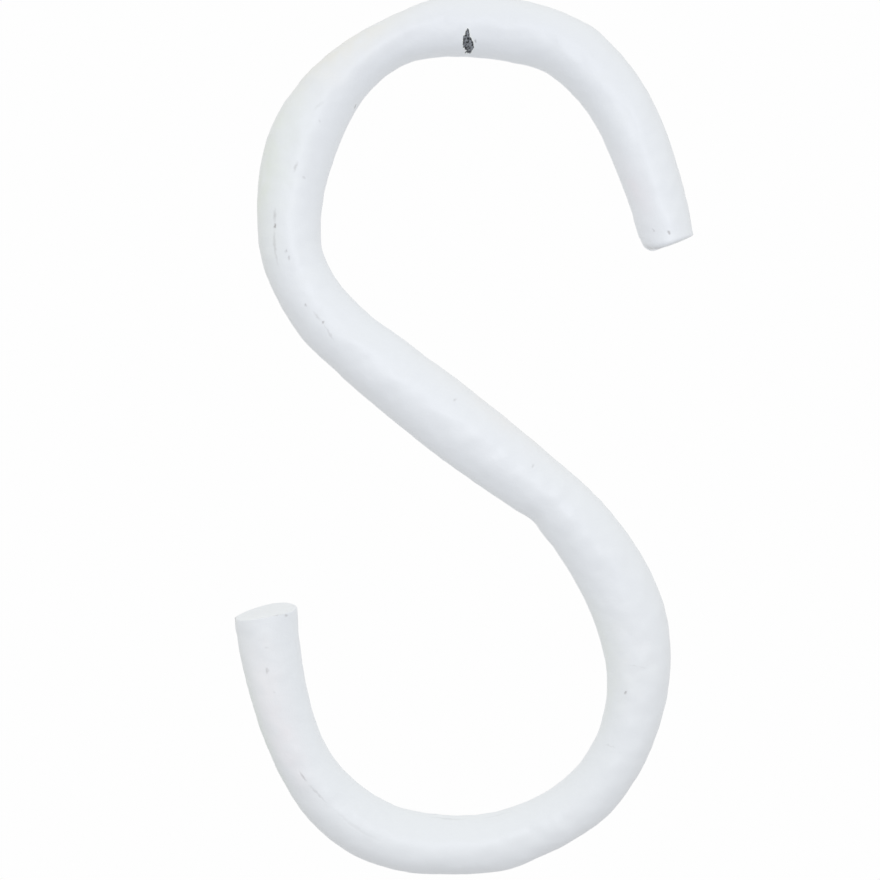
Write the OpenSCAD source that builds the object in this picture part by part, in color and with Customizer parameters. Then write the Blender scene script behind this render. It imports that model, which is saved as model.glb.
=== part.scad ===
// An S hook bent by hand from one round bar and coated thickly with paint, in millimetres.
// It hangs as in use: +Z is up, +X is the side of the upper tip and Y is the bar's depth.
// The origin is the rail seat, the point under the crown where the hook hangs.
// A bend turns the bar by an angle on the radius of its middle line. The bar's thickness,
// seen from the front, eases from one bend to the thickness named for the next bend's end.

/* [Bar] */
// Thickness of the bar at the crown
crown_thick = 7.65; // [6:0.05:10]
// Depth of the bar, from front to back, where it is neither thick nor thin
bar_depth = 8; // [6:0.1:10]
// Share of each thick and thin place that shows in the depth too
depth_share = 0.5; // [0:0.05:1]

/* [Upper arm, from the crown down to the upper tip] */
// Radius of the nearly flat crest beside the crown
crest_r = 35.5; // [20:0.5:60]
// Angle of the crest
crest_angle = 13.5; // [5:0.5:20]
// Thickness at the crest's end
crest_thick = 7.5; // [6:0.05:10]
// Radius of the shoulder, the arm's tightest bend
shoulder_r = 16.5; // [14:0.5:25]
// Angle of the shoulder
shoulder_angle = 31; // [20:0.5:40]
// Thickness at the shoulder's end
shoulder_thick = 7.65; // [6:0.05:10]
// Radius of the arm
arm_r = 24; // [18:0.5:35]
// Angle of the arm
arm_angle = 22; // [15:0.5:30]
// Thickness at the arm's end
arm_thick = 7.6; // [6:0.05:10]
// Radius of the last stretch up to the upper tip
upper_tip_r = 75; // [50:1:120]
// Angle of the last stretch up to the upper tip
upper_tip_angle = 12; // [5:0.5:15]
// Thickness at the upper tip
upper_tip_thick = 6.75; // [6:0.05:10]

/* [Upper bow, from the crown back to the shank] */
// Radius of the thin neck beside the crown
neck_r = 20.5; // [15:0.5:30]
// Angle of the neck
neck_angle = 26.5; // [20:0.5:35]
// Thickness at the neck's end, the thinnest place of the bar
neck_thick = 6; // [5:0.05:9]
// Radius of the bow's back
upper_back_r = 23; // [18:0.5:30]
// Angle of the bow's back
upper_back_angle = 44; // [35:0.5:50]
// Thickness at the back's end
upper_back_thick = 8.7; // [6:0.05:10]
// Radius of the bow's side
upper_side_r = 29; // [20:0.5:35]
// Angle of the bow's side
upper_side_angle = 24; // [15:0.5:30]
// Thickness at the side's end
upper_side_thick = 7.95; // [6:0.05:10]
// Radius of the elbow, the hook's tightest bend
elbow_r = 13.5; // [12:0.5:20]
// Angle of the elbow
elbow_angle = 22.5; // [15:0.5:30]
// Thickness at the elbow's end
elbow_thick = 7.7; // [6:0.05:10]
// Radius of the bend that leads into the shank
lead_r = 27; // [20:0.5:35]
// Angle of the bend that leads into the shank
lead_angle = 25.5; // [20:0.5:30]
// Thickness where the shank begins
lead_thick = 8.6; // [6:0.05:10]

/* [Shank] */
// Length of the shank from the upper bow to its thickest place
shank_upper_len = 15.5; // [10:0.5:24]
// Thickness at the thickest place
belly_thick = 9.35; // [6:0.05:11]
// Length of the shank from its thickest place to the lower bow
shank_lower_len = 12.5; // [8:0.5:20]
// Thickness where the lower bow begins
waist_thick = 8.15; // [6:0.05:10]

/* [Lower bow, from the shank round to the lower tip] */
// Radius of the hip, the bow's first bend
hip_r = 35.5; // [25:0.5:45]
// Angle of the hip
hip_angle = 30.5; // [25:0.5:35]
// Thickness at the hip's end
hip_thick = 9.05; // [6:0.05:10]
// Radius of the bow's back
lower_back_r = 23; // [18:0.5:30]
// Angle of the bow's back
lower_back_angle = 45.5; // [40:0.5:50]
// Thickness at the back's end
lower_back_thick = 6.9; // [6:0.05:10]
// Radius of the heel
heel_r = 20.5; // [15:0.5:25]
// Angle of the heel
heel_angle = 39; // [30:0.5:42]
// Thickness at the heel's end
heel_thick = 6.7; // [6:0.05:10]
// Radius of the sole, where the load hangs
sole_r = 27; // [20:0.5:35]
// Angle of the sole
sole_angle = 43.5; // [38:0.5:48]
// Thickness at the sole's end
sole_thick = 7.45; // [6:0.05:10]
// Radius of the short bend at the sole's far end
ball_r = 16.5; // [12:0.5:22]
// Angle of the short bend
ball_angle = 17.5; // [10:0.5:22]
// Thickness at the short bend's end
ball_thick = 7.6; // [6:0.05:10]
// Radius of the rise towards the lower tip
rise_r = 20.5; // [15:0.5:26]
// Angle of the rise
rise_angle = 35; // [30:0.5:40]
// Thickness at the rise's end
rise_thick = 6.75; // [6:0.05:10]
// Radius of the last stretch up to the lower tip
lower_tip_r = 56; // [40:1:90]
// Angle of the last stretch up to the lower tip
lower_tip_angle = 18; // [10:0.5:22]
// Thickness at the lower tip
lower_tip_thick = 7.8; // [6:0.05:10]

/* [Cut ends] */
// Slant of the cut at the upper tip, which leaves the inner side longer
upper_slant_angle = 9; // [0:0.5:15]
// Lean of the cut at the upper tip, which leaves the front longer
upper_lean_angle = 5; // [0:0.5:15]
// Radius of the filed edge round the cut at the upper tip
upper_edge_r = 1.2; // [0.2:0.1:1.5]
// Slant of the cut at the lower tip, which leaves the inner side longer
lower_slant_angle = 4.5; // [0:0.5:15]
// Lean of the cut at the lower tip, which leaves the back longer
lower_lean_angle = 5.5; // [0:0.5:15]
// Radius of the paint over the sharper edge round the cut at the lower tip
lower_edge_r = 0.4; // [0.2:0.1:1.5]

/* [Hidden] */

paint = [0.89, 0.91, 0.93];

// Sides of a section, length of bar between two sections, and sections round a cut's edge
section_sides = 32;
section_gap = 2.2;
edge_steps = 6;
// Length of bar at each tip that has no section, so that a slanted cut crosses none
tip_room = 3.5;

// The two runs of bends start at the crown. A bend is [radius, angle, thickness at its end],
// with a positive angle turning left as seen from the front, and a straight has the angle 0
// and its length in place of the radius.
arm_run = [
    [crest_r, -crest_angle, crest_thick],
    [shoulder_r, -shoulder_angle, shoulder_thick],
    [arm_r, -arm_angle, arm_thick],
    [upper_tip_r, -upper_tip_angle, upper_tip_thick]
];
bow_run = [
    [neck_r, neck_angle, neck_thick],
    [upper_back_r, upper_back_angle, upper_back_thick],
    [upper_side_r, upper_side_angle, upper_side_thick],
    [elbow_r, elbow_angle, elbow_thick],
    [lead_r, lead_angle, lead_thick],
    [shank_upper_len, 0, belly_thick],
    [shank_lower_len, 0, waist_thick],
    [hip_r, -hip_angle, hip_thick],
    [lower_back_r, -lower_back_angle, lower_back_thick],
    [heel_r, -heel_angle, heel_thick],
    [sole_r, -sole_angle, sole_thick],
    [ball_r, -ball_angle, ball_thick],
    [rise_r, -rise_angle, rise_thick],
    [lower_tip_r, -lower_tip_angle, lower_tip_thick]
];

// A place is [x, z, heading]. The crown's middle lies half a thickness above the seat.
arm_start = [0, crown_thick / 2, 0];
bow_start = [0, crown_thick / 2, 180];

// Length of bar in a bend or a straight
function bend_len(bend) = bend[1] == 0 ? bend[0] : bend[0] * abs(bend[1]) * PI / 180;

// Place at a share t of the way along a bend that starts at a place
function along(place, bend, t) =
    let (
        head = place[2],
        turned = head + bend[1] * t,
        r = sign(bend[1]) * bend[0],
        gone = bend[0] * t
    )
    bend[1] == 0
        ? [place[0] + gone * cos(head), place[1] + gone * sin(head), head]
        : [place[0] + r * (sin(turned) - sin(head)), place[1] - r * (cos(turned) - cos(head)), turned];

// Start of each bend of a run, followed by the end of the run
function bend_starts(run, start) = [
    for (i = 0, at = start; i <= len(run); at = i < len(run) ? along(at, run[i], 1) : at, i = i + 1) at
];

// Thickness at a share t of the way from one thickness to the next, level at both ends
function eased(from, to, t) = from + (to - from) * t * t * (3 - 2 * t);

// One section of the bar: its points in a ring round a place. The side is 1 where the ring's
// first point lies left of the heading and -1 where it lies right of it. An inset makes the
// section smaller, and a cut is [setback from the place, slant, lean].
function section(place, thick, side, inset = 0, cut = [0, 0, 0]) =
    let (deep = bar_depth + depth_share * (thick - bar_depth))
    [for (k = [0 : section_sides - 1])
        let (
            turn = 360 * k / section_sides,
            across = (thick / 2 - inset) * cos(turn),
            back = (deep / 2 - inset) * sin(turn),
            ahead = across * tan(cut[1]) + back * tan(cut[2]) - cut[0]
        )
        [
            place[0] + ahead * cos(place[2]) - side * across * sin(place[2]),
            back,
            place[1] + ahead * sin(place[2]) + side * across * cos(place[2])
        ]
    ];

// Sections of a run from its start to the room left for the cut
function run_sections(run, start, side) =
    let (starts = bend_starts(run, start), last = len(run) - 1)
    [for (i = [0 : last])
        let (
            bend = run[i],
            from = i == 0 ? crown_thick : run[i - 1][2],
            steps = ceil(bend_len(bend) / section_gap)
        )
        for (k = [0 : steps - 1])
            let (t = k / steps)
            if (i < last || bend_len(bend) * (1 - t) > tip_room)
                section(along(starts[i], bend, t), eased(from, bend[2], t), side)
    ];

// Sections of the cut at a run's end, round its edge to the rim of the flat face
function cut_sections(run, start, side, slant, lean, edge_r) =
    let (tip = bend_starts(run, start)[len(run)], thick = run[len(run) - 1][2])
    [for (k = [0 : edge_steps])
        let (turn = 90 * k / edge_steps)
        section(tip, thick, side, edge_r * (1 - cos(turn)), [edge_r * (1 - sin(turn)), slant, lean])
    ];

function reversed(list) = [for (i = [len(list) - 1 : -1 : 0]) list[i]];

// Triangles between a ring of points and the next one
function ring_faces(first) = [
    for (k = [0 : section_sides - 1])
        let (next = (k + 1) % section_sides)
        for (face = [
            [first + k, first + next + section_sides, first + next],
            [first + k, first + k + section_sides, first + next + section_sides]
        ]) face
];

// The bar bent into its S, from the upper tip over the crown to the lower tip
module s_hook() {
    arm = concat(
        run_sections(arm_run, arm_start, 1),
        cut_sections(arm_run, arm_start, 1, -upper_slant_angle, -upper_lean_angle, upper_edge_r)
    );
    bow = concat(
        run_sections(bow_run, bow_start, -1),
        cut_sections(bow_run, bow_start, -1, lower_slant_angle, lower_lean_angle, lower_edge_r)
    );
    // Both runs begin with the crown's section, which is kept once
    rings = concat(reversed(arm), [for (i = [1 : len(bow) - 1]) bow[i]]);
    upper_face = [for (k = [0 : section_sides - 1]) k];
    lower_face = [for (k = [section_sides - 1 : -1 : 0]) (len(rings) - 1) * section_sides + k];
    color(paint)
        polyhedron(
            points = [for (ring = rings) for (point = ring) point],
            faces = concat(
                [upper_face],
                [for (i = [0 : len(rings) - 2]) for (face = ring_faces(i * section_sides)) face],
                [lower_face]
            )
        );
}

s_hook();
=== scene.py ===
# An S hook, bent by hand from one steel bar and brushed thickly with white enamel.
# It hangs as in use: the origin is the rail seat under the crown, +Z is up, +X the upper tip's side.
from math import atan2, ceil, cos, degrees, hypot, inf, pi, radians, sin, sqrt, tan

import bmesh
import bpy
from mathutils import Matrix, Vector, kdtree, noise


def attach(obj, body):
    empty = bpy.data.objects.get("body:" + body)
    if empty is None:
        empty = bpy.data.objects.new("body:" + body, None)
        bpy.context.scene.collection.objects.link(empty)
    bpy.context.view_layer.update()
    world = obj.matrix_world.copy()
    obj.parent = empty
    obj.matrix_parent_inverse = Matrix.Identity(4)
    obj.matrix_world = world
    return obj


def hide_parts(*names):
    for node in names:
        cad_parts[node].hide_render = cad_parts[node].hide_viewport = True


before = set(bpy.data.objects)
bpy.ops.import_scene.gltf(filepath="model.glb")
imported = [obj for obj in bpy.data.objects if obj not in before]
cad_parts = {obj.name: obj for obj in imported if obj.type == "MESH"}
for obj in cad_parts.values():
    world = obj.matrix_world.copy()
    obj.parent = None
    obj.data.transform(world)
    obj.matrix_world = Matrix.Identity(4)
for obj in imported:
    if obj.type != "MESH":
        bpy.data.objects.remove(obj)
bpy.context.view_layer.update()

mm = 0.001  # sizes below are in millimetres, Blender's are in metres

# The bar. A bend is the radius of its middle line, its angle and the bar's thickness at its end.
# A positive angle turns left as seen from the front. A straight has the angle 0 and its length.
hook = {
    "name": "enamelled_hook",
    "crownThick": 7.65,
    "barDepth": 8,          # from front to back, where the bar is neither thick nor thin
    "depthShare": 0.5,      # share of each thick and thin place that shows in the depth too
    "armBends": [
        (35.5, -13.5, 7.5), # crest beside the crown
        (16.5, -31, 7.65),  # shoulder
        (24, -22, 7.6),     # arm
        (75, -12, 6.75),    # last stretch up to the upper tip
    ],
    "bowBends": [
        (20.5, 26.5, 6),    # thin neck beside the crown
        (23, 44, 8.7),      # back of the upper bow
        (29, 24, 7.95),     # its side
        (13.5, 22.5, 7.7),  # elbow, the tightest bend
        (27, 25.5, 8.6),    # lead into the shank
        (15.5, 0, 9.35),    # shank down to its belly
        (12.5, 0, 8.15),    # shank down to its waist
        (35.5, -30.5, 9.05), # hip
        (23, -45.5, 6.9),   # back of the lower bow
        (20.5, -39, 6.7),   # heel
        (27, -43.5, 7.45),  # sole, where the load hangs
        (16.5, -17.5, 7.6), # ball
        (20.5, -35, 6.75),  # rise
        (56, -18, 7.8),     # last stretch up to the lower tip
    ],
    "upperCut": (-9, -5, 0.2), # slant to the side of +X, lean to the back, radius of the paint on the edge
    "lowerCut": (4.5, 5.5, 0.12),
    "sides": 24,            # sides of the bar before it is subdivided
    "ringGap": 1.2,         # length of bar from one ring to the next, before it is subdivided
    "tipRoom": 3,           # length of bar at each tip that the saw cuts in one go
    "levels": 2,
    "weld": 0.01,           # points closer than this are one
    "sawReach": 9,          # how far from a tip the saw looks for faces
    "sawNoise": 0.001,      # points closer than this to the cut lie on it
    "edgeCuts": 2,          # rings added beside each cut, which keep its edge crisp
    "edgeSegments": 3,      # steps in the paint's rounded edge
    "capReach": 2,          # how far from the tip the middle of the cut's face may lie
    "capInsets": (0.25, 0.9, 1.1), # distances between the rings on the cut's face
    "lineStep": 0.1,        # length of bar from one point of its middle line to the next
}


def straightOrArc(place, bend, share):
    # A place is its x, its z and its heading, counted left from +X as seen from the front
    x, z, heading = place
    size, angle, thick = bend
    if angle == 0:
        gone = size * share
        return x + gone * cos(radians(heading)), z + gone * sin(radians(heading)), heading
    turned = heading + angle * share
    r = size if angle > 0 else -size
    return (x + r * (sin(radians(turned)) - sin(radians(heading))),
            z - r * (cos(radians(turned)) - cos(radians(heading))), turned)


def lengthOf(bend):
    return bend[0] if bend[1] == 0 else bend[0] * abs(radians(bend[1]))


def eased(start, end, share):
    return start + (end - start) * share * share * (3 - 2 * share)


def depthOf(thick):
    return hook["barDepth"] + hook["depthShare"] * (thick - hook["barDepth"])


def middleOf(place):
    return Vector((place[0], 0, place[1]))


def ringSpace(place):
    # Own axes of the ring at a place: across the bar, from front to back, and along the heading
    heading = radians(place[2])
    across = Vector((-sin(heading), 0, cos(heading)))
    ahead = Vector((cos(heading), 0, sin(heading)))
    space = Matrix((across, Vector((0, 1, 0)), ahead)).transposed().to_4x4()
    space.translation = middleOf(place) * mm
    return space


def sweepRun(bar, start, bends):
    # Spins one ring of points through the bends and lets it swell and shrink on the way
    sides = hook["sides"]
    # A subdivided ring ends inside its points, so the points start outside the bar
    swell = 3 / (2 + cos(2 * pi / sides))
    thick = hook["crownThick"]
    size = Matrix.Diagonal((thick / 2 * mm * swell, depthOf(thick) / 2 * mm * swell, 1, 1))
    ring = bmesh.ops.create_circle(bar, segments=sides, radius=1, matrix=ringSpace(start) @ size)["verts"]
    ring += list({edge for point in ring for edge in point.link_edges})
    place = start
    for number, bend in enumerate(bends):
        isLast = number == len(bends) - 1
        length = lengthOf(bend)
        steps = ceil((length - hook["tipRoom"] if isLast else length) / hook["ringGap"])
        shares = [step / steps for step in range(1, steps + 1)]
        if isLast:
            # The last ring lies past the tip, and none within the room left for the saw
            shares = [share * (1 - hook["tipRoom"] / length) for share in shares]
            shares.append(1 + hook["tipRoom"] / 2 / length)
        old, oldThick = 0, thick
        x, z, heading = place
        size, angle, endThick = bend
        r = size if angle > 0 else -size
        centre = Vector((x - r * sin(radians(heading)), 0, z + r * cos(radians(heading)))) * mm
        ahead = Vector((cos(radians(heading)), 0, sin(radians(heading)))) * mm
        for share in shares:
            move = ahead * length * (share - old) if angle == 0 else Vector()
            ring = bmesh.ops.spin(bar, geom=ring, cent=centre, axis=(0, -1, 0), dvec=move,
                                  angle=radians(angle * (share - old)), steps=1)["geom_last"]
            newThick = eased(thick, endThick, min(share, 1))
            grow = (newThick / oldThick, depthOf(newThick) / depthOf(oldThick), 1)
            bmesh.ops.scale(bar, vec=grow, space=ringSpace(straightOrArc(place, bend, share)).inverted(),
                            verts=[item for item in ring if isinstance(item, bmesh.types.BMVert)])
            old, oldThick = share, newThick
        place = straightOrArc(place, bend, 1)
        thick = endThick
    return place


def sawTip(bar, place, side, cut):
    # Saws the bar off at a slant, closes the cut and rounds its edge as the thick paint does
    space = ringSpace(place)
    slant, lean, edge = cut
    plane = space.to_3x3() @ Vector((-side * tan(radians(slant)), -tan(radians(lean)), 1))
    near = [point for point in bar.verts
            if (point.co - space.translation).length < hook["sawReach"] * mm]
    sawn = near + list({edge for point in near for edge in point.link_edges})
    sawn += list({face for point in near for face in point.link_faces})
    made = bmesh.ops.bisect_plane(bar, geom=sawn, plane_co=space.translation, plane_no=plane,
                                  dist=hook["sawNoise"] * mm, clear_outer=True)["geom_cut"]
    rim = [item for item in made if isinstance(item, bmesh.types.BMEdge)]
    long = [edge for point in {point for edge in rim for point in edge.verts}
            for edge in point.link_edges if edge not in rim]
    bmesh.ops.subdivide_edges(bar, edges=long, cuts=hook["edgeCuts"])
    cap = bmesh.ops.edgeloop_fill(bar, edges=rim)["faces"][0]
    bmesh.ops.bevel(bar, geom=list(cap.edges), offset=edge * mm, affect="EDGES",
                    segments=hook["edgeSegments"], profile=0.5, material=-1)
    cap = max((face for face in bar.faces if len(face.verts) == hook["sides"]
               and (face.calc_center_median() - space.translation).length < hook["capReach"] * mm),
              key=lambda face: face.calc_area())
    for inset in hook["capInsets"]:
        bmesh.ops.inset_individual(bar, faces=[cap], thickness=inset * mm)


def middleLine():
    # The bar's middle line in short steps from the upper tip to the lower tip, with the way along it
    # from the crown, which is negative on the upper arm
    line = []
    for bends, heading, side in ((hook["armBends"], 0, -1), (hook["bowBends"], 180, 1)):
        place, thick, gone = (0, hook["crownThick"] / 2, heading), hook["crownThick"], 0
        run = []
        for bend in bends:
            length = lengthOf(bend)
            steps = ceil(length / hook["lineStep"])
            for step in range(steps):
                share = step / steps
                run.append((side * (gone + length * share), straightOrArc(place, bend, share),
                            eased(thick, bend[2], share)))
            place, thick, gone = straightOrArc(place, bend, 1), bend[2], gone + length
        run.append((side * gone, place, thick))
        if side > 0:
            line += run[1:]
        else:
            # The upper arm's headings are turned round, so that they all lead to the lower tip
            line = [(along, (x, z, heading + 180), thick) for along, (x, z, heading), thick in reversed(run)]
    return line


def makeHook():
    bar = bmesh.new()
    crown = hook["crownThick"] / 2
    upperTip = sweepRun(bar, (0, crown, 0), hook["armBends"])
    lowerTip = sweepRun(bar, (0, crown, 180), hook["bowBends"])
    bmesh.ops.remove_doubles(bar, verts=bar.verts, dist=hook["weld"] * mm)
    sawTip(bar, upperTip, 1, hook["upperCut"])
    sawTip(bar, lowerTip, -1, hook["lowerCut"])
    bmesh.ops.recalc_face_normals(bar, faces=bar.faces)
    mesh = bpy.data.meshes.new(hook["name"])
    bar.to_mesh(mesh)
    bar.free()
    piece = bpy.data.objects.new(hook["name"], mesh)
    bpy.context.scene.collection.objects.link(piece)
    smooth = piece.modifiers.new("paint flows smooth", "SUBSURF")
    smooth.levels = smooth.render_levels = hook["levels"]
    smooth.boundary_smooth = "ALL"
    # Modifier applied: the paint's lumps and chips are shaped on the fine mesh
    graph = bpy.context.evaluated_depsgraph_get()
    fine = bpy.data.meshes.new_from_object(piece.evaluated_get(graph))
    piece.modifiers.clear()
    piece.data = fine
    bpy.data.meshes.remove(mesh)
    fine.name = hook["name"]
    for face in fine.polygons:
        face.use_smooth = True
    return piece


# What the hammer, the file and the brush left, shaped on the fine mesh. A knock is the way along the
# bar from the crown (negative on the upper arm), its height and half its length.
coat = {
    "outerKnocks": [          # on the side that is the upper bow's outer side
        (-41, -0.1, 1.5), (-15, 0.15, 2.5), (22, -0.13, 2.5), (29, 0.08, 6), (55, -0.33, 4.5),
        (80, 0.1, 5), (87.3, -0.36, 3), (97, 0.1, 5), (127, -0.12, 9), (150, 0.07, 4),
    ],
    "innerKnocks": [          # on the side that is the upper bow's inner side
        (-41, -0.14, 2), (-12, -0.1, 3), (-7, 0.1, 3), (2, -0.15, 6), (41, -0.1, 3), (60, 0.12, 5),
        (73, -0.14, 5), (82, 0.13, 4), (129.5, 0.21, 4.5), (142, 0.28, 4), (149.5, -0.16, 4.5),
        (170, -0.1, 4), (177, 0.1, 4), (190, 0.2, 1.5),
    ],
    # Radius filed on the edge of the upper tip's cut: inner side, front, outer side, back
    "filed": (2.2, 0.45, 0.2, 0.8),
    "filedDome": 0.16,        # how far the middle of the filed face stands out
    # The lower tip's cut falls off on both sides of its crest: where the crest is, from -1 to 1 across,
    # the fall on the bow's inner side and on its outer side, and the length of bar that takes it up
    "fall": (0.3, 0.2, 0.3, 1.6),
    # A swelling is the way along and round, the reach along and round, and the height. Ways round are
    # in degrees: 0 on the upper bow's outer side, 90 in front.
    "swellings": [
        (-20, 131, 16, 36, 0.24),  # fuller inner side on both sides of the crown
        (2, 142, 12, 38, 0.2),
        (24, 90, 14, 60, 0.17),    # the upper bow's back
        (58, 72, 14, 50, 0.18),    # ridge along the shank
        (88, 82, 20, 45, 0.18),
        (154, 90, 14, 65, 0.42),   # ridge that ends in the lower bow's crease
        (180, 70, 14, 60, -0.4),   # hollow past it
        (191.2, 172, 0.7, 14, 0.16), # bead of paint on the lower tip's edge
    ],
    "lump": (4.0, 0.05),      # size across and height of the slow lumps
    "ripple": (1.3, 0.055),   # size across and height of the ripples on them
    "dabs": (2.2, 0.13),      # the same of the brush's dabs, which thin out towards the outline
    "seed": 7.3,
    "sideFade": 4,            # how fast swellings and dabs fade out on the cut faces
}

# Where the coat has chipped off under the crown. The outline is the way along and the way round.
chip = {
    "outline": [
        (-0.42, 113), (-0.6, 117), (-0.68, 122), (-0.72, 127), (-1.05, 133), (-1.24, 139.5), (-1.39, 150),
        (-1.1, 155), (-0.95, 166.5), (-0.6, 169.5), (-0.3, 166), (0, 168), (-0.3, 158), (0.15, 152),
        (0.25, 142), (0.25, 132.5), (0.15, 127), (-0.05, 122.5), (-0.15, 117), (-0.3, 113),
    ],
    "depth": 0.16,            # thickness of the coat
    "wall": 0.12,             # width of the broken wall
    "lip": (0.3, 0.04),       # width and height of the coat's lifted lip
    "pitting": (0.35, 0.05),  # size across and height of the rough scale in it
    "fineReach": 2.7,         # how far from its middle the mesh is finer
    "fineCuts": 3,
    "away": -99,              # what stands for the distance to it on the rest of the hook
}


def outerOf(place):
    # Direction across the bar, towards the upper bow's outer side
    return Vector((sin(radians(place[2])), 0, -cos(radians(place[2]))))


def onBar(along, around):
    # A place on the bar as on a straight bar of even thickness: marks and brush strokes follow it
    radius = hook["barDepth"] / 2
    return Vector((along, radius * cos(radians(around)), radius * sin(radians(around))))


def knocksAt(along, knocks):
    return sum(height * cos(pi / 2 * (along - centre) / reach) ** 2
               for centre, height, reach in knocks if abs(along - centre) < reach)


def fileTip(at, place, thick):
    # Rounds the edge of the upper tip's cut, more on one side than on the other
    slant, lean = hook["upperCut"][:2]
    outer = outerOf(place)
    back = Vector((0, 1, 0))
    ahead = ringSpace(place).to_3x3() @ Vector((0, 0, -1))
    offset = at - middleOf(place)
    across, behind = offset.dot(outer), offset.dot(back)
    reach = sqrt(across * across + behind * behind)
    if reach < hook["weld"]:
        return at
    c, s = across / reach, behind / reach
    rim = 1 / sqrt((c / thick * 2) ** 2 + (s / depthOf(thick) * 2) ** 2)
    inside = across * tan(radians(slant)) + behind * tan(radians(lean)) - offset.dot(ahead)
    radius = sum(weight * weight * size for weight, size in
                 zip((max(-c, 0), max(-s, 0), max(c, 0), max(s, 0)), coat["filed"]))
    way = (inside - (rim - reach)) / radius   # from -1 on the cut's face to 1 on the bar's side
    if way >= 1:
        return at
    newReach, drop = reach, 0
    if way > -1:
        turn = pi / 4 * (1 + way)   # a quarter circle from the face to the side
        newReach = rim - radius * (1 - sin(turn))
        drop = radius * (1 - cos(turn))
    dome = coat["filedDome"] * (1 - (newReach / rim) ** 2)
    newAcross, newBehind = newReach * c, newReach * s
    newAhead = newAcross * tan(radians(slant)) + newBehind * tan(radians(lean)) - drop + dome
    return middleOf(place) + outer * newAcross + back * newBehind + ahead * newAhead


def sinkSides(at, place, across):
    # Lets the sides of the lower tip's cut down
    crest, inner, outer, length = coat["fall"]
    ahead = ringSpace(place).to_3x3() @ Vector((0, 0, 1))
    side, fall = (1, inner) if across > crest else (-1, outer)
    share = min((across - crest) / (side - crest), 1)
    near = min(max((at - middleOf(place)).dot(ahead) / length + 1, 0), 1)
    return at - ahead * fall * sin(pi / 2 * share) ** 2 * eased(0, 1, near)


def swellingsAt(along, around):
    lift = 0
    for middle, side, reachAlong, reachAround, height in coat["swellings"]:
        far = hypot((along - middle) / reachAlong, ((around - side + 180) % 360 - 180) / reachAround)
        if far < 1:
            lift += height * (1 - far * far) ** 2
    return lift


def insideChip(along, around):
    # Distance to the chip's outline in millimetres, positive inside it
    scale = radians(hook["barDepth"] / 2)  # millimetres for each degree round the bar
    at = Vector((along, around * scale))
    outline = [Vector((x, y * scale)) for x, y in chip["outline"]]
    inside, nearest = False, inf
    for start, end in zip(outline, outline[1:] + outline[:1]):
        way, offset = end - start, at - start
        share = min(max(offset.dot(way) / way.length_squared, 0), 1)
        nearest = min(nearest, (offset - way * share).length)
        if (start.y > at.y) != (end.y > at.y) and at.x < start.x + way.x * offset.y / way.y:
            inside = not inside
    return nearest if inside else -nearest


def chipLift(inside, at):
    # The lip stands up outside the outline, and the floor lies a coat's thickness down inside it
    width, height = chip["lip"]
    if inside < -width:
        return 0
    if inside < 0:
        return height * (1 + inside / width) ** 2
    size, rough = chip["pitting"]
    floor = rough * noise.noise(at / size) - chip["depth"]
    return height + (floor - height) * min(inside / chip["wall"], 1)


def refineAtChip(points, line):
    # Makes the faces round the chip finer and gives the chip's middle
    outline = chip["outline"]
    chipAlong = sum(along for along, around in outline) / len(outline)
    chipAround = sum(around for along, around in outline) / len(outline)
    along, place, thick = min(line, key=lambda row: abs(row[0] - chipAlong))
    middle = middleOf(place) + outerOf(place) * thick / 2 * cos(radians(chipAround))
    middle.y = -depthOf(thick) / 2 * sin(radians(chipAround))
    near = [edge for edge in points.edges
            if all((point.co / mm - middle).length < chip["fineReach"] for point in edge.verts)]
    bmesh.ops.subdivide_edges(points, edges=near, cuts=chip["fineCuts"], use_grid_fill=True)
    return middle


def liftAt(at, straightened, inside):
    # How far the coat stands out at a point of the mesh
    around = atan2(straightened.z, straightened.y)
    # The cut faces have neither swellings nor dabs
    onSide = min(hypot(straightened.y, straightened.z) / hook["barDepth"] * 2, 1) ** coat["sideFade"]
    lift = onSide * swellingsAt(straightened.x, degrees(around))
    size, height = coat["dabs"]
    dabs = (size, onSide * height * sin(around) ** 2)
    for size, height in (coat["lump"], coat["ripple"], dabs):
        lift += height * noise.noise(at / size + Vector((coat["seed"], 0, size)))
    return lift + chipLift(inside, at)


def shapeCoat(piece):
    line = middleLine()
    tree = kdtree.KDTree(len(line))
    for number, (along, place, thick) in enumerate(line):
        tree.insert(middleOf(place), number)
    tree.balance()
    tipAlong, tipPlace, tipThick = line[0]
    endAlong, endPlace = line[-1][:2]
    points = bmesh.new()
    points.from_mesh(piece.data)
    chipMiddle = refineAtChip(points, line)
    # The material and the lumps read where each point lies on the straightened bar
    straight = points.verts.layers.float_vector.new("straightened")
    bare = points.verts.layers.float.new("insideChip")
    for point in points.verts:
        at = point.co / mm
        along, place, thick = line[tree.find(Vector((at.x, 0, at.z)))[1]]
        if along < tipAlong + hook["tipRoom"]:
            at = fileTip(at, tipPlace, tipThick)
        # Both are 1 on the bar's sides
        across = (at - middleOf(place)).dot(outerOf(place)) / thick * 2
        inFront = -at.y / depthOf(thick) * 2
        around, reach = degrees(atan2(inFront, across)), hypot(inFront, across)
        here = onBar(along, around)
        point[straight] = Vector((here.x, here.y * reach, here.z * reach))
        nearChip = (at - chipMiddle).length < chip["fineReach"]
        point[bare] = insideChip(along, around) if nearChip else chip["away"]
        push = knocksAt(along, coat["outerKnocks" if across > 0 else "innerKnocks"])
        at += outerOf(place) * across * push
        if along > endAlong - hook["tipRoom"]:
            at = sinkSides(at, endPlace, across)
        point.co = at * mm
    points.normal_update()
    moves = [point.normal * liftAt(point.co / mm, point[straight], point[bare]) * mm
             for point in points.verts]
    for point, move in zip(points.verts, moves):
        point.co += move
    points.to_mesh(piece.data)
    points.free()


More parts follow.
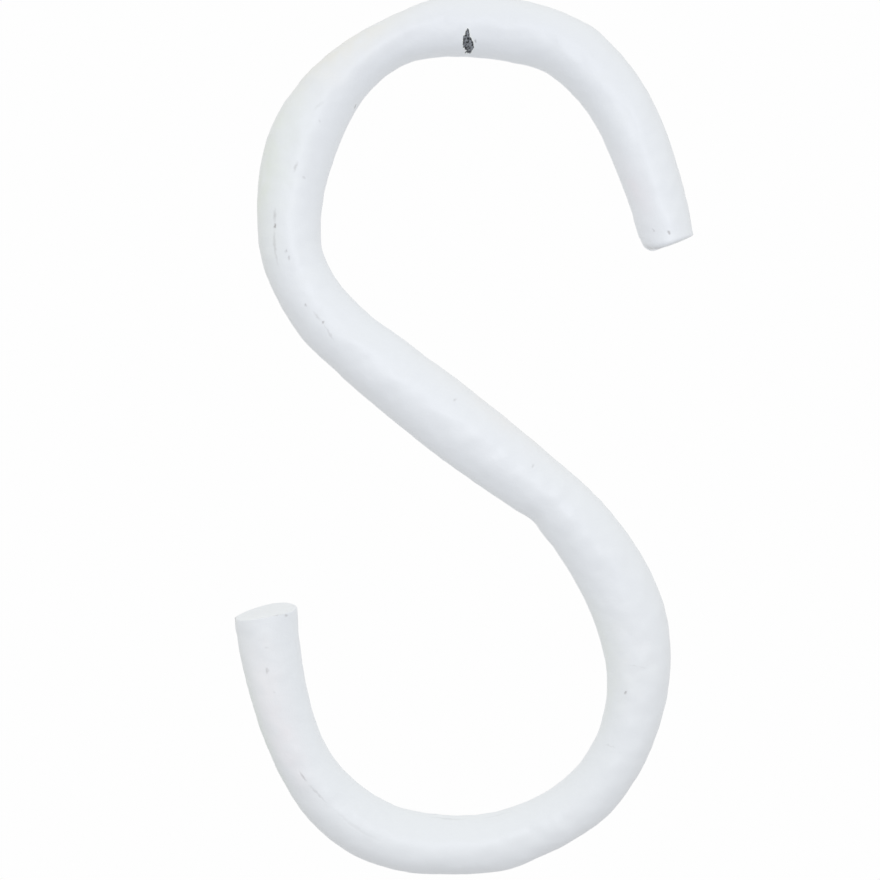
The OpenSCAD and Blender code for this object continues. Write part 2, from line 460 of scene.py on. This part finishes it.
def toLinear(hexColour):
    # sRGB hex to the linear values that shaders read, by the sRGB standard's curve
    values = [int(hexColour[i:i + 2], 16) / 255 for i in (1, 3, 5)]
    return [v / 12.92 if v <= 0.04045 else ((v + 0.055) / 1.055) ** 2.4 for v in values] + [1]


def addNode(tree, kind, settings=None, links=None):
    # Settings are the node's own properties or the values of its input sockets. Sockets go by name, or
    # by number where names are shared: a colour Mix takes its share at 0 and its colours at 6 and 7.
    node = tree.nodes.new(kind)
    for name, value in (settings or {}).items():
        if isinstance(name, str) and hasattr(node, name):
            setattr(node, name, value)
        else:
            node.inputs[name].default_value = value
    for name, socket in (links or {}).items():
        tree.links.new(socket, node.inputs[name])
    return node


# Alkyd enamel, brushed on in thick coats: a satin skin, a little cold in its white
enamel = {
    "white": "#ecf0f4",
    "roughness": 0.45,
    "roughSpread": 0.08,
    "ior": 1.5,
    "peel": (0.7, 0.03),      # size across and height of the orange peel, coarse enough to show
    "strokes": (9, 0.6, 0.004),  # length, width and height of the brush strokes
    "grimeAndShade": "#77706c",       # what has settled in scratches and pits, also the painted shade on the upper tip's cut face
    "ragged": 0.5,            # how far the chip's edge wanders to and fro
    "lip": "#f7fbfa",         # painted highlight where the chip's lifted lip catches the light
    "lipHighlightEdge": (0.16, 0.04),  # how far outside the chip's edge it starts and is full
    "bareEdge": (0.02, 0.06), # how far outside it bare steel starts, and how far inside it is full
    "scale": "#0d1014",       # mill scale on the bare steel
    "scaleLight": "#8f949a",
    "mottle": (0.43, 0.6),    # noise at which the scale is darkest and lightest
    "scaleRough": 0.62,
    "pitSize": 0.3,
    "jagged": (0.6, 0.25),    # size across and reach of the waver in every mark's edge
    # Streaks in the coat, from one place to another: way along and way round twice, then half the
    # width, how deep it is, and how much grime it holds
    "streaks": [
        (36, 72, 38, 70, 0.3, 0, 0.25),       # scratch down the upper bow's back
        (38, 70, 43.2, 62, 0.3, 0, 0.22),
        (38, 70.5, 38.4, 70, 0.27, 0.03, 0.85),  # pit in it
        (41.3, 86, 41.5, 85, 0.22, 0.02, 0.35),
        (42.1, 88, 42.4, 86, 0.24, 0.02, 0.3),
        (48.2, 75, 48.4, 75, 0.24, 0.02, 0.35),
        (49.3, 79, 51.1, 80, 0.22, 0, 0.2),   # scratch where the bow turns into the shank
        (51.1, 80, 51.3, 80, 0.24, 0.02, 0.5),
        (51.3, 80, 53.9, 72, 0.22, 0, 0.18),
        (69.8, 118, 69.9, 122, 0.26, 0.02, 0.22),
        (82.4, 110, 82.5, 114, 0.22, 0.02, 0.22),
        (114.6, 60, 114.9, 57, 0.25, 0.03, 0.5), # pit on the lower bow's back
        (110.8, 66, 111.3, 96, 0.24, 0, 0.16), # two cracks round the bar
        (122.6, 41, 122.2, 68, 0.24, 0, 0.2),
        (171.3, 95, 169.7, 91, 0.26, 0.04, 0.3), # crease along the lower bow
        (169.7, 91, 165.9, 84.5, 0.26, 0.03, 0.18),
        (165.9, 84.5, 157, 84, 0.3, 0.02, 0.06),
        (184.2, 94, 184.6, 93, 0.3, 0.03, 0.35), # pits and dashes on the rise to the lower tip
        (187.2, 84, 187.2, 90, 0.2, 0, 0.18),
        (181.6, 86, 181.6, 90, 0.2, 0, 0.14),
        (152.5, 10, 146, 14, 0.25, 0.03, 0.12),  # line inside the lower bow
        (145, 14, 139, 13, 0.22, 0.02, 0.08),
        (191.1, 44, 191.2, 74, 0.2, 0.02, 0.25), # darker lines along the lower tip's rim
        (191.1, 40, 191.1, 46, 0.25, 0.02, 0.35),
        (190.6, 155, 191, 172, 0.25, 0.02, 0.4),
        (-41.2, 96, -41.1, 97, 0.3, 0.04, 0.55), # pits by the upper tip
        (-40.4, 128, -40.3, 129, 0.26, 0.04, 0.4),
        (30.2, 100, 31.5, 98, 0.3, 0.02, 0.28), # nicks on the upper bow's shoulder
        (31.9, 114, 31.9, 117, 0.22, 0, 0.2),
        (21.5, 103, 23.4, 95, 0.35, 0, 0.1),
        (24.1, 110, 24.2, 112, 0.22, 0, 0.15),
        (18.8, 167, 19.3, 168, 0.3, 0.03, 0.5), # pit on its inner side
        (-1.5, 134, -1.45, 137, 0.24, 0.03, 0.5), # speck beside the chip
    ],
    # Painted shade along the front of the upper tip's filed face: ways round, share of the radius, reach,
    # how much
    "tipShade": ((180, 150, 115, 80), 0.8, 0.8, 0.28),
    # Where the coat's white leans to another colour, and painted light: paler patches, and the green and
    # warm tint of the light from the left as seen from the front. Rows give two places, reach, colour and
    # share
    "tintsAndPaintedLight": [
        (8, 45, 22, 40, 6, "#efeee7", 0.5),      # painted warm tint of the light from the upper left, on the upper bow's shoulder
        (22, 50, 42, 25, 6, "#e9f0e7", 0.5),     # painted green tint of the light from the left, on its outer side
        (60, 160, 90, 165, 4, "#f0eeec", 0.3),
        # painted green tint of the light from the left, on the lower bow's inner side
        (100, 20, 122, 15, 4, "#e8efe8", 0.4),
        (-40, 140, -30, 150, 3.5, "#f1e9ee", 0.25), # pink below the upper tip
        (168, 100, 188, 95, 4, "#f1eaee", 0.35), # and below the lower one
        # painted green tint of the light from the left, on the lower arm's side that faces left
        (165, 160, 189, 165, 3.5, "#e6efe9", 0.5),
        (176, 112, 191, 110, 5.5, "#fbfdfe", 0.3), # painted light: paler towards the lower tip
        (104, 60, 117, 62, 5, "#fbfdfe", 0.25),  # painted light: paler on the lower bow's shoulder
    ],
    "tintPatch": 2.2,         # size across of the patches that break the tints up
    "patchNoise": (0.3, 0.7), # noise at which a patch is palest and deepest
    "patchShare": (0.4, 1.4), # what the tints are multiplied by there
}
noiseMiddle = 0.5  # noise nodes give values from 0 to 1


def streakMask(tree, place, start, end, reach):
    # 1 in the middle of a streak from start to end, smoothly down to 0 at its rim
    way = end - start
    settings = {"vector_type": "TEXTURE", "Location": (start + end) / 2,
                "Rotation": way.to_track_quat("X", "Z").to_euler(),
                "Scale": (way.length / 2 + reach, reach, reach)}
    inside = addNode(tree, "ShaderNodeMapping", settings, {"Vector": place})
    far = addNode(tree, "ShaderNodeVectorMath", {"operation": "LENGTH"}, {0: inside.outputs[0]})
    return addNode(tree, "ShaderNodeMapRange",
                   {"interpolation_type": "SMOOTHSTEP", "From Min": 1, "From Max": 0},
                   {"Value": far.outputs["Value"]}).outputs[0]


def enamelOnSteel():
    material = bpy.data.materials.new("white enamel paint on steel")
    material.use_nodes = True
    tree = material.node_tree
    shader = tree.nodes["Principled BSDF"]
    shader.inputs["IOR"].default_value = enamel["ior"]
    place = addNode(tree, "ShaderNodeAttribute", {"attribute_name": "straightened"}).outputs["Vector"]
    inside = addNode(tree, "ShaderNodeAttribute", {"attribute_name": "insideChip"}).outputs["Fac"]

    # Every mark's edge wavers a little
    size, reach = enamel["jagged"]
    waver = addNode(tree, "ShaderNodeTexNoise", {"Scale": 1 / size, "Detail": 3}, {"Vector": place})
    centred = addNode(tree, "ShaderNodeVectorMath", {"operation": "SUBTRACT", 1: (noiseMiddle,) * 3},
                      {0: waver.outputs["Color"]})
    wavering = addNode(tree, "ShaderNodeVectorMath", {"operation": "MULTIPLY_ADD", 1: (2 * reach,) * 3},
                       {0: centred.outputs[0], 2: place}).outputs[0]

    # The coat's surface in millimetres: orange peel, brush strokes along the bar, then the streaks
    size, height = enamel["peel"]
    peel = addNode(tree, "ShaderNodeTexNoise", {"Scale": 1 / size, "Detail": 2}, {"Vector": place})
    level = addNode(tree, "ShaderNodeMath", {"operation": "MULTIPLY", 1: height},
                    {0: peel.outputs["Fac"]}).outputs[0]
    length, width, height = enamel["strokes"]
    stretched = addNode(tree, "ShaderNodeVectorMath",
                        {"operation": "MULTIPLY", 1: (1 / length, 1 / width, 1 / width)}, {0: place})
    strokes = addNode(tree, "ShaderNodeTexNoise", {"Scale": 1, "Detail": 3},
                      {"Vector": stretched.outputs[0]})
    level = addNode(tree, "ShaderNodeMath", {"operation": "MULTIPLY_ADD", 1: height},
                    {0: strokes.outputs["Fac"], 2: level}).outputs[0]

    # The white leans to other colours in patches, some of which are painted light
    patches = addNode(tree, "ShaderNodeTexNoise", {"Scale": 1 / enamel["tintPatch"], "Detail": 2},
                      {"Vector": place})
    palest, deepest = enamel["patchNoise"]
    least, most = enamel["patchShare"]
    patchy = addNode(tree, "ShaderNodeMapRange",
                     {"From Min": palest, "From Max": deepest, "To Min": least, "To Max": most},
                     {"Value": patches.outputs["Fac"]}).outputs[0]
    colour = None
    for alongA, aroundA, alongB, aroundB, reach, tintAndPaintedLight, share in enamel["tintsAndPaintedLight"]:
        mask = streakMask(tree, place, onBar(alongA, aroundA), onBar(alongB, aroundB), reach)
        much = addNode(tree, "ShaderNodeMath", {"operation": "MULTIPLY", 1: share}, {0: mask})
        much = addNode(tree, "ShaderNodeMath", {"operation": "MULTIPLY"}, {0: much.outputs[0], 1: patchy})
        mixed = addNode(tree, "ShaderNodeMix",
                        {"data_type": "RGBA", 6: toLinear(enamel["white"]), 7: toLinear(tintAndPaintedLight)},
                        {0: much.outputs[0]})
        if colour:
            tree.links.new(colour, mixed.inputs[6])
        colour = mixed.outputs[2]

    # Streaks deepen the coat and hold grime
    grimeAndShade = None
    for alongA, aroundA, alongB, aroundB, reach, deep, much in enamel["streaks"]:
        mask = streakMask(tree, wavering, onBar(alongA, aroundA), onBar(alongB, aroundB), reach)
        if deep:
            level = addNode(tree, "ShaderNodeMath", {"operation": "MULTIPLY_ADD", 1: -deep},
                            {0: mask, 2: level}).outputs[0]
        held = addNode(tree, "ShaderNodeMath", {"operation": "MULTIPLY", 1: much}, {0: mask}).outputs[0]
        if grimeAndShade:
            held = addNode(tree, "ShaderNodeMath", {"operation": "MAXIMUM"}, {0: held, 1: grimeAndShade}).outputs[0]
        grimeAndShade = held
    # Painted shade on the upper tip's filed face, laid on in the grime colour
    turns, share, reach, much = enamel["tipShade"]
    tip = -sum(lengthOf(bend) for bend in hook["armBends"])
    for turn, nextTurn in zip(turns, turns[1:]):
        start, end = (Vector((tip, *(share * onBar(tip, way)).yz)) for way in (turn, nextTurn))
        mask = streakMask(tree, place, start, end, reach)
        held = addNode(tree, "ShaderNodeMath", {"operation": "MULTIPLY", 1: much}, {0: mask}).outputs[0]
        grimeAndShade = addNode(tree, "ShaderNodeMath", {"operation": "MAXIMUM"}, {0: held, 1: grimeAndShade}).outputs[0]
    # Grime in the streaks, and the painted shade on the upper tip's face
    dirtAndShade = addNode(tree, "ShaderNodeMix", {"data_type": "RGBA", 7: toLinear(enamel["grimeAndShade"])},
                    {0: grimeAndShade, 6: colour})

    # The chip: a painted highlight on its lifted lip, then bare steel with mottled scale
    rough = addNode(tree, "ShaderNodeTexNoise", {"Scale": 1 / enamel["pitSize"], "Detail": 3},
                    {"Vector": place})
    edge = addNode(tree, "ShaderNodeMath", {"operation": "MULTIPLY_ADD", 1: enamel["ragged"]},
                   {0: rough.outputs["Fac"], 2: inside})
    middle = enamel["ragged"] * noiseMiddle
    start, full = enamel["lipHighlightEdge"]
    lip = addNode(tree, "ShaderNodeMapRange", {"From Min": middle - start, "From Max": middle - full},
                  {"Value": edge.outputs[0]})
    lipHighlight = addNode(tree, "ShaderNodeMix", {"data_type": "RGBA", 7: toLinear(enamel["lip"])},
                    {0: lip.outputs[0], 6: dirtAndShade.outputs[2]})
    start, full = enamel["bareEdge"]
    bare = addNode(tree, "ShaderNodeMapRange", {"From Min": middle - start, "From Max": middle + full},
                   {"Value": edge.outputs[0]})
    darkest, lightest = enamel["mottle"]
    mottle = addNode(tree, "ShaderNodeMapRange", {"From Min": darkest, "From Max": lightest},
                     {"Value": rough.outputs["Fac"]})
    steel = addNode(tree, "ShaderNodeMix", {"data_type": "RGBA", 6: toLinear(enamel["scale"]),
                                            7: toLinear(enamel["scaleLight"])}, {0: mottle.outputs[0]})
    body = addNode(tree, "ShaderNodeMix", {"data_type": "RGBA"},
                   {0: bare.outputs[0], 6: lipHighlight.outputs[2], 7: steel.outputs[2]})
    tree.links.new(body.outputs[2], shader.inputs["Base Color"])

    worn = addNode(tree, "ShaderNodeMapRange", {"To Min": enamel["roughness"] - enamel["roughSpread"],
                                                "To Max": enamel["roughness"] + enamel["roughSpread"]},
                   {"Value": strokes.outputs["Fac"]})
    dull = addNode(tree, "ShaderNodeMix", {"data_type": "FLOAT", 3: enamel["scaleRough"]},
                   {0: bare.outputs[0], 2: worn.outputs[0]})
    tree.links.new(dull.outputs[0], shader.inputs["Roughness"])
    bump = addNode(tree, "ShaderNodeBump", {"Distance": mm}, {"Height": level})
    tree.links.new(bump.outputs["Normal"], shader.inputs["Normal"])
    return material


# Camera at the photograph's viewing angle, in line with the hook's middle
camera = {
    "lens": 50,
    "distance": 155.2,
    "aim": (-3.07, -48.71),   # x and z of the middle of the view
    "clipStart": 5,
}

# A soft lamp close by, beside the camera, and soft light from all round that is stronger from above.
# Strengths are the brightness that each adds to white enamel.
studio = {
    "lampPlace": (15, -188, -6),
    "lampRadius": 45,
    "lamp": (0.199, 0.211, 0.245),
    "above": (0.75, 0.771, 0.762),
    "below": (0.454, 0.47, 0.498),
    "behind": 0.99,           # the pale backdrop, which the bar's edges mirror
    "tentRadius": 1200,
    "tentSegments": (96, 48), # round and up
    "floorBelow": 600,
    "backdrop": "#fefefe",
}


def makeStudio():
    scene = bpy.context.scene
    scene.view_settings.view_transform = "Standard"
    view = bpy.data.cameras.new("camera")
    view.lens = camera["lens"]
    view.clip_start = camera["clipStart"] * mm
    eye = bpy.data.objects.new("camera", view)
    x, z = camera["aim"]
    eye.location = Vector((x, -camera["distance"], z)) * mm
    eye.rotation_euler = (radians(90), 0, 0)
    scene.collection.objects.link(eye)
    scene.camera = eye

    white = toLinear(enamel["white"])
    lamp = bpy.data.lights.new("soft lamp", "AREA")
    lamp.shape = "DISK"
    lamp.size = 2 * studio["lampRadius"] * mm
    place = Vector(studio["lampPlace"])
    way = Vector((x, 0, z)) - place
    # A lamp of this power gives a white surface at this distance a brightness of 1
    unit = (pi * way.length * mm) ** 2
    power = [unit * part / body for part, body in zip(studio["lamp"], white)]
    lamp.energy = max(power)
    lamp.color = [part / max(power) for part in power]
    light = bpy.data.objects.new("soft lamp", lamp)
    light.location = place * mm
    light.rotation_euler = way.to_track_quat("-Z", "Y").to_euler()
    scene.collection.objects.link(light)

    world = bpy.data.worlds.new("soft light all round")
    world.use_nodes = True
    tree = world.node_tree
    ends = [[part / body for part, body in zip(studio[end], white)] + [1] for end in ("below", "above")]
    around = addNode(tree, "ShaderNodeTexCoord")
    way = addNode(tree, "ShaderNodeSeparateXYZ", {}, {0: around.outputs["Generated"]})
    height = addNode(tree, "ShaderNodeMapRange", {"From Min": -1}, {"Value": way.outputs["Z"]})
    sky = addNode(tree, "ShaderNodeMix", {"data_type": "RGBA", 6: ends[0], 7: ends[1]},
                  {0: height.outputs[0]})
    farSide = addNode(tree, "ShaderNodeMapRange", {"interpolation_type": "SMOOTHSTEP"},
                      {"Value": way.outputs["Y"]})
    glow = addNode(tree, "ShaderNodeMix", {"data_type": "RGBA", 7: [studio["behind"]] * 3 + [1]},
                   {0: farSide.outputs[0], 6: sky.outputs[2]})
    tree.links.new(glow.outputs[2], tree.nodes["Background"].inputs["Color"])
    scene.world = world

    # A pale tent with a flat floor. It glows by itself, so that it neither shades nor tints the hook.
    tent = bmesh.new()
    roundIt, upIt = studio["tentSegments"]
    bmesh.ops.create_uvsphere(tent, u_segments=roundIt, v_segments=upIt, radius=studio["tentRadius"] * mm)
    for point in tent.verts:
        point.co.z = max(point.co.z, -studio["floorBelow"] * mm)
    mesh = bpy.data.meshes.new("floor")
    tent.to_mesh(mesh)
    tent.free()
    floor = bpy.data.objects.new("floor", mesh)
    scene.collection.objects.link(floor)
    glow = bpy.data.materials.new("pale backdrop")
    glow.use_nodes = True
    tree = glow.node_tree
    tree.nodes.remove(tree.nodes["Principled BSDF"])
    shine = addNode(tree, "ShaderNodeEmission", {"Color": toLinear(studio["backdrop"])})
    tree.links.new(shine.outputs[0], tree.nodes["Material Output"].inputs["Surface"])
    floor.data.materials.append(glow)
    floor.visible_diffuse = False
    floor.visible_glossy = False
    floor.visible_shadow = False
    floor.visible_transmission = False


print("studio")
makeStudio()
print("hook")
enamelledHook = makeHook()
print("coat")
shapeCoat(enamelledHook)
enamelledHook.data.materials.append(enamelOnSteel())
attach(enamelledHook, "root")
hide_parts("s_hook")
print("hook has", len(enamelledHook.data.polygons), "faces")
